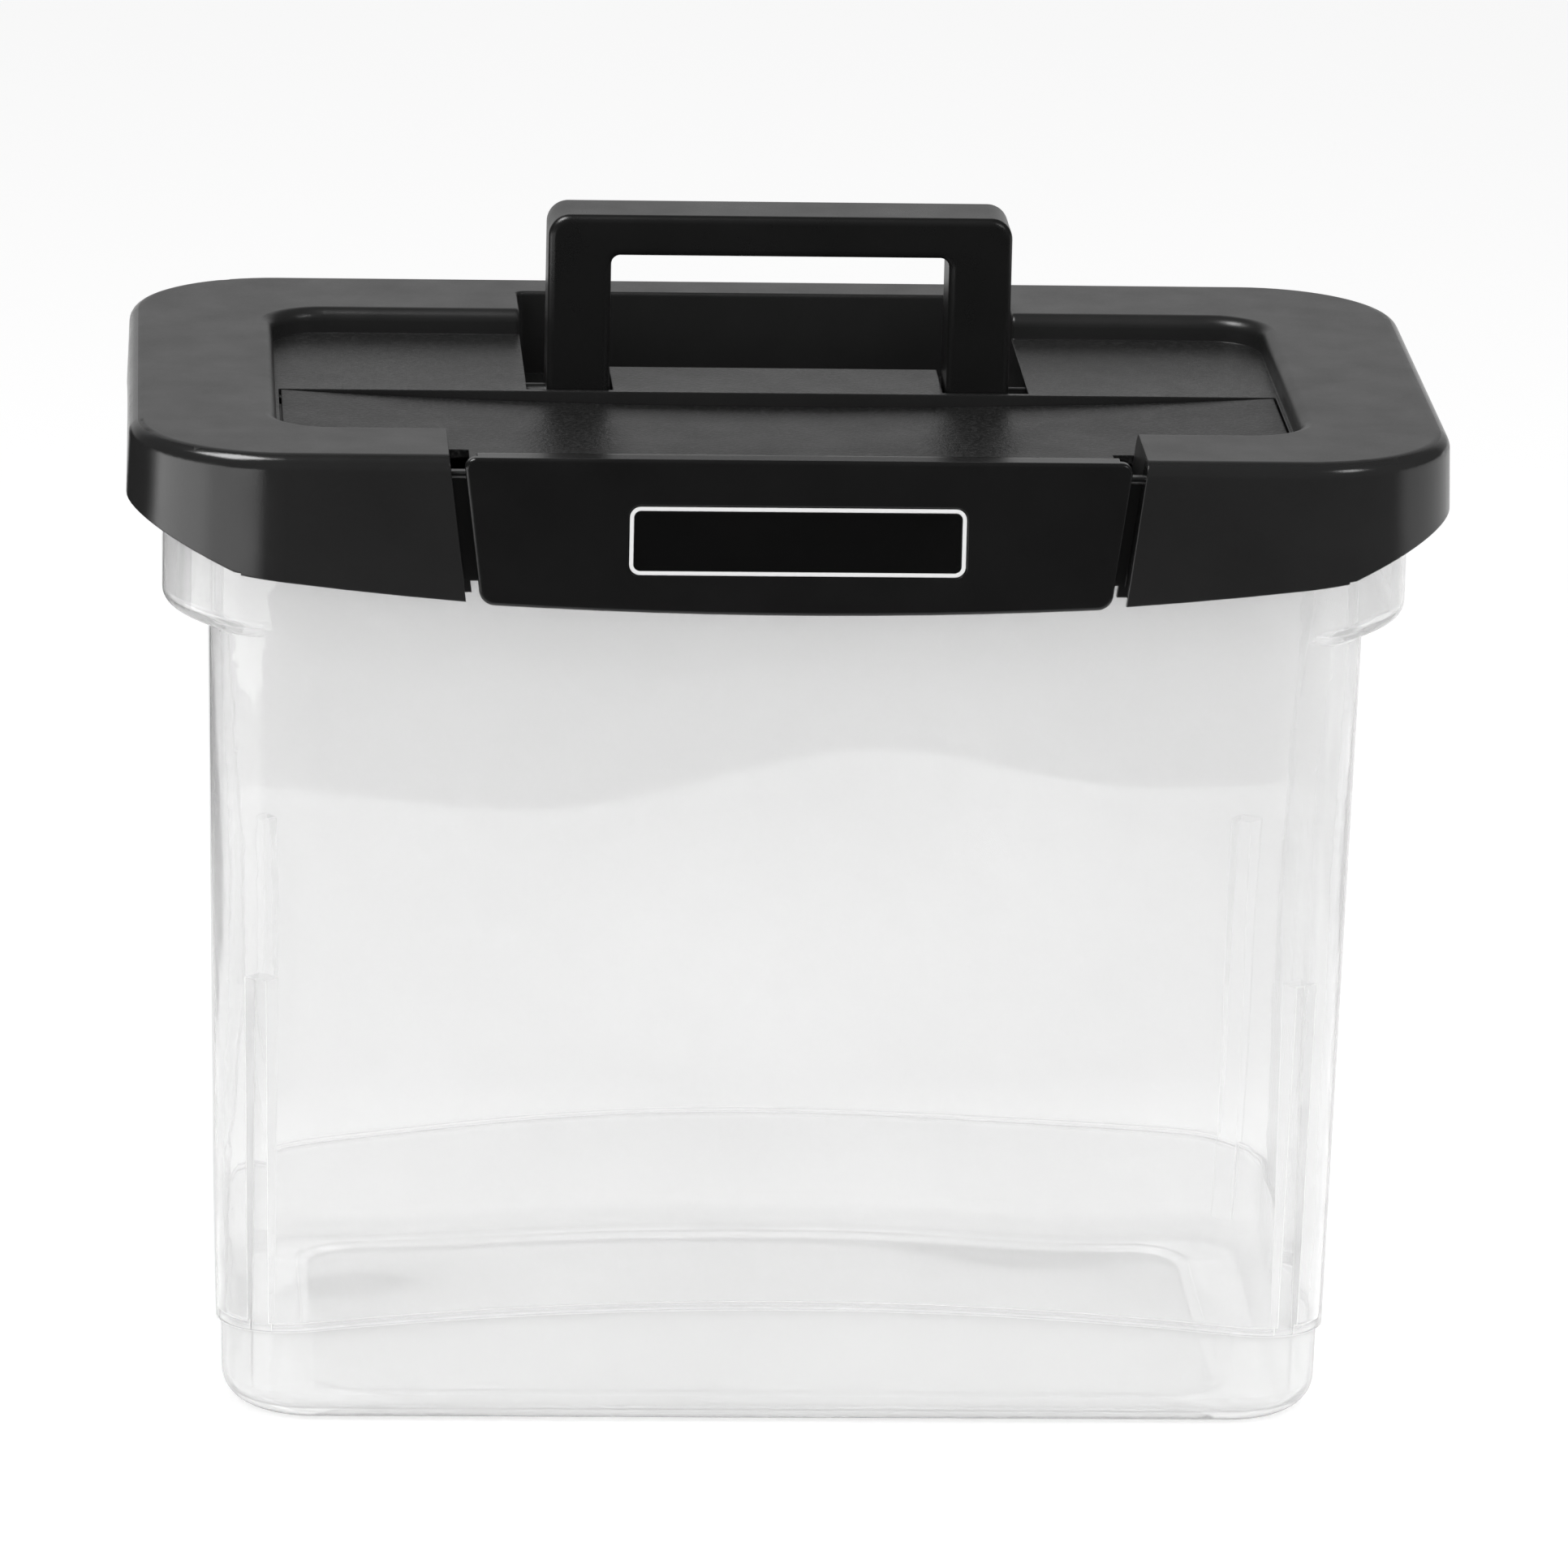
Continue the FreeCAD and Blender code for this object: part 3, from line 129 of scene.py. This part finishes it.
class Finish:
    """Node material built around one surface shader."""

    def __init__(self, name, **settings):
        self.material = bpy.data.materials.new(name)
        self.material.use_nodes = True
        self.nodes = self.material.node_tree.nodes
        self.links = self.material.node_tree.links
        self.shader = self.nodes["Principled BSDF"]
        self.set(**settings)
        self.place = self.add("ShaderNodeTexCoord").outputs["Object"]

    def set(self, **settings):
        """Sets the shader's sockets, named with underscores, to values or to other nodes' outputs."""
        for name, value in settings.items():
            self.feed(self.shader.inputs[name.replace("_", " ")], value)

    def fed(self, name):
        """Output that a socket of the shader already takes."""
        return self.shader.inputs[name].links[0].from_socket

    def feed(self, socket, value):
        if isinstance(value, bpy.types.NodeSocket):
            self.links.new(value, socket)
        else:
            socket.default_value = value

    def add(self, kind, inputs=(), **properties):
        node = self.nodes.new(kind)
        for name, value in properties.items():
            setattr(node, name, value)
        for socket, value in dict(inputs).items():
            self.feed(node.inputs[socket], value)
        return node

    def math(self, operation, *values):
        return self.add("ShaderNodeMath", enumerate(values), operation=operation).outputs[0]

    def along(self, axis):
        """One coordinate of the piece, in metres."""
        return self.add("ShaderNodeSeparateXYZ", {"Vector": self.place}).outputs[axis]

    def noise(self, scale, detail=2.0, roughness=0.5, stretch=(1.0, 1.0, 1.0)):
        """Fractal noise over the piece; scale is in waves per metre."""
        place = self.add("ShaderNodeMapping", {"Vector": self.place, "Scale": stretch}).outputs[0]
        inputs = {"Vector": place, "Scale": scale, "Detail": detail, "Roughness": roughness}
        return self.add("ShaderNodeTexNoise", inputs).outputs["Fac"]

    def spread(self, value, low, high, start=0.3, end=0.7):
        """Maps a range, by default the middle of a noise, onto another."""
        inputs = {"Value": value, "From Min": start, "From Max": end, "To Min": low, "To Max": high}
        return self.add("ShaderNodeMapRange", inputs).outputs["Result"]

    def mix(self, share, first, second):
        """Number between two numbers."""
        return self.add("ShaderNodeMix", {0: share, 2: first, 3: second}, data_type="FLOAT").outputs[0]

    def tint(self, share, first, second):
        """Colour between two colours."""
        return self.add("ShaderNodeMix", {0: share, 6: first, 7: second}, data_type="RGBA").outputs[2]

    def bump(self, height, depth, painted_light_below=None):
        """Surface relief of a height map; depth in metres."""
        inputs = {"Height": height, "Distance": depth}
        if painted_light_below is not None:
            inputs["Normal"] = painted_light_below
        return self.add("ShaderNodeBump", inputs).outputs["Normal"]

    def broken_edges(self):
        """Normal of edges broken by a small radius, as a mould leaves them."""
        return self.add("ShaderNodeBevel", {"Radius": EDGE_RADIUS}, samples=6).outputs["Normal"]


def grey(value):
    return (value, value, value, 1.0)


def satin_black(name, dark, light, roughness, texture_depth):
    """Moulded black plastic with a very fine texture and faint smudges."""
    finish = Finish(name, Metallic=0.0, IOR=PLASTIC_IOR)
    cloud = finish.noise(CLOUD_WAVES, detail=3.0)
    finish.set(Base_Color=finish.tint(finish.spread(cloud, 0.0, 1.0), grey(dark), grey(light)))
    fine = finish.noise(TEXTURE_WAVES, detail=3.0, roughness=0.6)
    smudge = finish.noise(SMUDGE_WAVES, detail=4.0, roughness=0.6)
    smudged = finish.spread(smudge, -SMUDGE_ROUGHNESS, SMUDGE_ROUGHNESS)
    textured = finish.spread(fine, -TEXTURE_ROUGHNESS, TEXTURE_ROUGHNESS)
    uneven = finish.math("ADD", smudged, textured)
    finish.set(Roughness=finish.math("ADD", uneven, roughness))
    finish.set(Normal=finish.bump(fine, texture_depth, finish.broken_edges()))
    return finish


def add_grain(finish, share):
    """Coarse grain over a satin black where the share is 1, lighter on its tops as a painted highlight."""
    grain = finish.noise(GRAIN_WAVES, detail=2.0, roughness=0.7)
    height = finish.math("MULTIPLY", grain, share)
    finish.set(Normal=finish.bump(height, GRAIN_DEPTH, finish.fed("Normal")))
    # Painted highlight: lighter grey on the raised tops of the grain
    peak_highlight = finish.math("MULTIPLY", finish.spread(grain, 0.0, 1.0, *GRAIN_PEAK_HIGHLIGHT_RANGE), share)
    finish.set(Base_Color=finish.tint(peak_highlight, finish.fed("Base Color"), grey(GRAIN_PEAK_HIGHLIGHT_COLOR)))


def reach_share(finish, node):
    """Distance out from the middle as a share of a node's reach, 1 all along its outer box."""
    ways = (finish.math("ABSOLUTE", finish.along(axis)) for axis in "XY")
    shares = [finish.math("DIVIDE", way, half) for way, half in zip(ways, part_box(node)[1])]
    return finish.math("MAXIMUM", *shares)


def clear_plastic():
    """Clear polypropylene, a little milky, with slow waves from the mould."""
    finish = Finish("clear_polypropylene", Metallic=0.0, IOR=CLEAR_IOR)
    finish.set(Coat_Weight=CLEAR_COAT, Coat_IOR=PLASTIC_IOR, Coat_Roughness=CLEAR_COAT_ROUGHNESS)
    cloud = finish.noise(CLEAR_CLOUD_WAVES, detail=2.0)
    dim, bright = (grey(value) for value in CLEAR_COLORS)
    finish.set(Base_Color=finish.tint(finish.spread(cloud, 0.0, 1.0), dim, bright))
    haze = finish.noise(CLEAR_ROUGHNESS_WAVES, detail=3.0)
    finish.set(Roughness=finish.spread(haze, *CLEAR_ROUGHNESS))
    surface = finish.add("ShaderNodeNewGeometry").outputs
    # Edges found by the rounded normal are made whiter: partly real scattering, partly a painted highlight
    rounded = finish.add("ShaderNodeBevel", {"Radius": EDGE_RADIUS}, samples=4).outputs["Normal"]
    facing = finish.add("ShaderNodeVectorMath", {0: rounded, 1: surface["Normal"]}, operation="DOT_PRODUCT")
    fall = finish.math("MULTIPLY", finish.math("POWER", finish.along("X"), 2.0), ARCH_FALL)
    above_arch = finish.math("ADD", finish.math("SUBTRACT", finish.along("Z"), ARCH_TOP), fall)
    clear = finish.spread(above_arch, CLEAR_BAND_SHARE, CLEAR_SHARE, -ARCH_SOFTNESS, ARCH_SOFTNESS)
    flat = finish.spread(facing.outputs["Value"], 0.0, 1.0, *CLEAR_EDGE_HIGHLIGHT_TURN)
    aslant = finish.add("ShaderNodeLayerWeight", {"Blend": 0.5}).outputs["Facing"]
    flat = finish.math("MULTIPLY", flat, finish.spread(aslant, 1.0, 0.0, *CLEAR_SLANTS))
    finish.set(Transmission_Weight=finish.mix(flat, CLEAR_EDGE_HIGHLIGHT_SHARE, clear))
    thicker = finish.spread(surface["Backfacing"], 1.0, -1.0, 0.0, 1.0)
    wave = finish.math("MULTIPLY", finish.noise(CLEAR_WAVES, detail=0.0), thicker)
    finish.set(Normal=finish.bump(wave, CLEAR_WAVE_DEPTH))
    return finish.material


def lid_black():
    """Satin rim, polished edges and skirt, and coarse grain on the floor of the sunk tray."""
    finish = satin_black("lid_black", *LID_BLACK)
    level = finish.math("COMPARE", finish.along("Z"), LID_TOP - RECESS_DEPTH, GRAIN_LEVEL_MARGIN)
    normal = finish.add("ShaderNodeNewGeometry").outputs["True Normal"]
    rise = finish.add("ShaderNodeSeparateXYZ", {"Vector": normal}).outputs["Z"]
    tray = finish.math("MULTIPLY", level, finish.math("GREATER_THAN", rise, UPWARD))
    lower = finish.math("LESS_THAN", finish.along("Z"), LID_TOP - POLISH_DROP)
    outer = finish.math("GREATER_THAN", reach_share(finish, "lid"), POLISH_REACH_SHARE)
    polish = finish.math("MULTIPLY", finish.math("MULTIPLY", lower, outer), POLISH)
    finish.set(Roughness=finish.math("SUBTRACT", finish.fed("Roughness"), polish))
    add_grain(finish, tray)
    return finish.material


def flap_black():
    finish = satin_black("flap_black", *FLAP_BLACK)
    add_grain(finish, 1.0)
    return finish.material


def plate_black():
    """Blank plate: glossy field with a thin light border."""
    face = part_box("label_plate")[0].y
    finish = satin_black("plate_black", *PLATE_BLACK)
    border = finish.math("LESS_THAN", finish.along("Y"), face + PLATE_BORDER_HEIGHT / 2)
    finish.set(Base_Color=finish.tint(border, finish.fed("Base Color"), grey(PLATE_BORDER_COLOR)))
    return finish.material


def pin_steel():
    """Blackened wire, with fine lines along it."""
    finish = Finish("blackened_steel", Metallic=1.0)
    lines = finish.noise(STEEL_LINES, detail=2.0, stretch=STEEL_LINE_STRETCH)
    dark, light = (grey(value) for value in STEEL_COLORS)
    finish.set(Base_Color=finish.tint(finish.spread(lines, 0.0, 1.0), dark, light))
    finish.set(Roughness=finish.spread(lines, *STEEL_ROUGHNESS))
    finish.set(Normal=finish.bump(lines, STEEL_LINE_DEPTH))
    return finish.material


def dress(node, material):
    """Gives a node of the frame its finish."""
    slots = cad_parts[node].data.materials
    slots.clear()
    slots.append(material)


def dress_all():
    dress("tub", clear_plastic())
    dress("lid", lid_black())
    dress("carry_handle", satin_black("handle_black", *HANDLE_BLACK).material)
    dress("organizer_flap", flap_black())
    dress("front_latch", satin_black("latch_black", *LATCH_BLACK).material)
    dress("label_plate", plate_black())
    wire = pin_steel()
    for node in ("handle_pivot_pins", "flap_hinge_pins", "lid_hinge_pins", "latch_hinge_rod"):
        dress(node, wire)


def in_sector(finish, middle, half_width):
    """1 within a sector of the floor, by bearings in degrees from the front, fading to 0 outside it."""
    ahead = finish.math("MULTIPLY", finish.along("Y"), -1.0)
    bearing = finish.math("DEGREES", finish.math("ARCTAN2", finish.along("X"), ahead))
    aside = finish.math("ABSOLUTE", finish.math("SUBTRACT", bearing, middle))
    return finish.spread(aside, 1.0, 0.0, half_width - FLOOR_DARK_FADE, half_width + FLOOR_DARK_FADE)


def make_floor():
    """Pale floor: white to the eye with the object's shadow, dark in front to mirrors, dim far behind."""
    half = FLOOR_HALF_WIDTH
    mesh = bpy.data.meshes.new("floor")
    corners = [(-half, -half, 0), (half, -half, 0), (half, half, 0), (-half, half, 0)]
    mesh.from_pydata(corners, [], [(0, 1, 2, 3)])
    floor = bpy.data.objects.new("floor", mesh)
    bpy.context.scene.collection.objects.link(floor)
    finish = Finish("floor_paper", Roughness=0.9, Specular_IOR_Level=0.0, Emission_Color=grey(1.0))
    path = finish.add("ShaderNodeLightPath").outputs
    mirrored = finish.math("GREATER_THAN", path["Is Glossy Ray"], path["Is Transmission Ray"])
    sector = finish.math("MAXIMUM", *(in_sector(finish, *sector) for sector in FLOOR_DARK_SECTORS))
    distance = finish.add("ShaderNodeVectorMath", {0: finish.place}, operation="LENGTH").outputs["Value"]
    dark = finish.math("MULTIPLY", sector, finish.spread(distance, 0.0, 1.0, *FLOOR_DARK_START))
    mirrored_dark = finish.math("MULTIPLY", mirrored, dark)
    finish.set(Base_Color=finish.tint(mirrored_dark, grey(FLOOR_COLOR), grey(FLOOR_DARK_COLOR)))
    mirror_glow = finish.spread(dark, FLOOR_GLOW * FLOOR_MIRROR_SHARE, 0.0, 0.0, 1.0)
    clear_glow = finish.spread(finish.along("Y"), FLOOR_GLOW, FLOOR_GLOW * FLOOR_REAR_SHARE, *FLOOR_REAR)
    # Painted light: the floor below the tub is brighter for rays through the clear walls, hiding the tub's
    # shadow
    painted_light_below = finish.spread(reach_share(finish, "tub"), 1.0, 0.0, *FLOOR_UNDER_PAINTED_LIGHT_EDGES)
    clear_glow = finish.mix(painted_light_below, clear_glow, FLOOR_UNDER_PAINTED_LIGHT)
    glow = finish.math("MULTIPLY", path["Is Camera Ray"], FLOOR_GLOW)
    glow = finish.mix(path["Is Transmission Ray"], glow, clear_glow)
    finish.set(Emission_Strength=finish.mix(mirrored, glow, mirror_glow))
    mesh.materials.append(finish.material)


class Sky(Finish):
    """World shader."""

    def __init__(self, world):
        world.use_nodes = True
        self.nodes = world.node_tree.nodes
        self.links = world.node_tree.links
        self.shader = self.nodes["Background"]
        self.place = self.add("ShaderNodeTexCoord").outputs["Generated"]


def make_world():
    """White backdrop for the camera, a bright band low behind for reflections and an even ambient light."""
    world = bpy.data.worlds.new("studio")
    bpy.context.scene.world = world
    sky = Sky(world)
    sky.set(Color=grey(1.0))
    path = sky.add("ShaderNodeLightPath").outputs
    mirror = sky.spread(sky.along("Y"), MIRROR_DARK_STRENGTH, MIRROR_BAND_STRENGTH, *MIRROR_BAND_EDGES)
    shown = sky.math("MAXIMUM", path["Is Camera Ray"], path["Is Transmission Ray"])
    strength = sky.mix(path["Is Glossy Ray"], AMBIENT_STRENGTH, mirror)
    sky.set(Strength=sky.mix(shown, strength, BACKDROP_STRENGTH))


def make_softboxes():
    for name, place, target, width, height, watts, seen_by in SOFTBOXES:
        lamp = bpy.data.lights.new(name, "AREA")
        lamp.shape = "RECTANGLE"
        lamp.size = width
        lamp.size_y = height
        lamp.energy = watts
        holder = bpy.data.objects.new(name, lamp)
        holder.location = place
        holder.rotation_mode = "QUATERNION"
        holder.rotation_quaternion = (Vector(target) - Vector(place)).to_track_quat("-Z", "Y")
        holder.visible_diffuse = seen_by in ("diffuse", "both")
        holder.visible_glossy = seen_by in ("glossy", "both")
        bpy.context.scene.collection.objects.link(holder)


def make_camera():
    azimuth, elevation, roll = (math.radians(a) for a in (CAMERA_AZIMUTH, CAMERA_ELEVATION, CAMERA_ROLL))
    back = Vector((
        math.sin(azimuth) * math.cos(elevation),
        -math.cos(azimuth) * math.cos(elevation),
        math.sin(elevation),
    ))
    level_right = Vector((math.cos(azimuth), math.sin(azimuth), 0.0))
    level_up = back.cross(level_right)
    right = level_right * math.cos(roll) + level_up * math.sin(roll)
    middle = Vector((0.0, 0.0, LID_TOP / 2))
    place = middle + back * CAMERA_DISTANCE
    aim = middle + level_right * AIM_RIGHT + level_up * AIM_UP
    back = (place - aim).normalized()
    up = back.cross(right).normalized()
    right = up.cross(back)
    lens = bpy.data.cameras.new("camera")
    lens.sensor_width = SENSOR_WIDTH
    lens.lens = SENSOR_WIDTH * FOCAL_PIXELS / PHOTO_PIXELS
    camera = bpy.data.objects.new("camera", lens)
    camera.matrix_world = Matrix.Translation(place) @ Matrix((right, up, back)).transposed().to_4x4()
    bpy.context.scene.collection.objects.link(camera)
    bpy.context.scene.camera = camera


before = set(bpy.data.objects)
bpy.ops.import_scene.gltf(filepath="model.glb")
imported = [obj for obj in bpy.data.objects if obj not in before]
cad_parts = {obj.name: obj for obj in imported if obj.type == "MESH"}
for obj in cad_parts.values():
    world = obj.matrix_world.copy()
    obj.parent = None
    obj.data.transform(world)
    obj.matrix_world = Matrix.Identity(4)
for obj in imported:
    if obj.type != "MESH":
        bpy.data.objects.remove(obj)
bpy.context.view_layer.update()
bpy.context.scene.view_settings.view_transform = "Standard"
dress_all()
make_floor()
make_world()
make_softboxes()
make_camera()
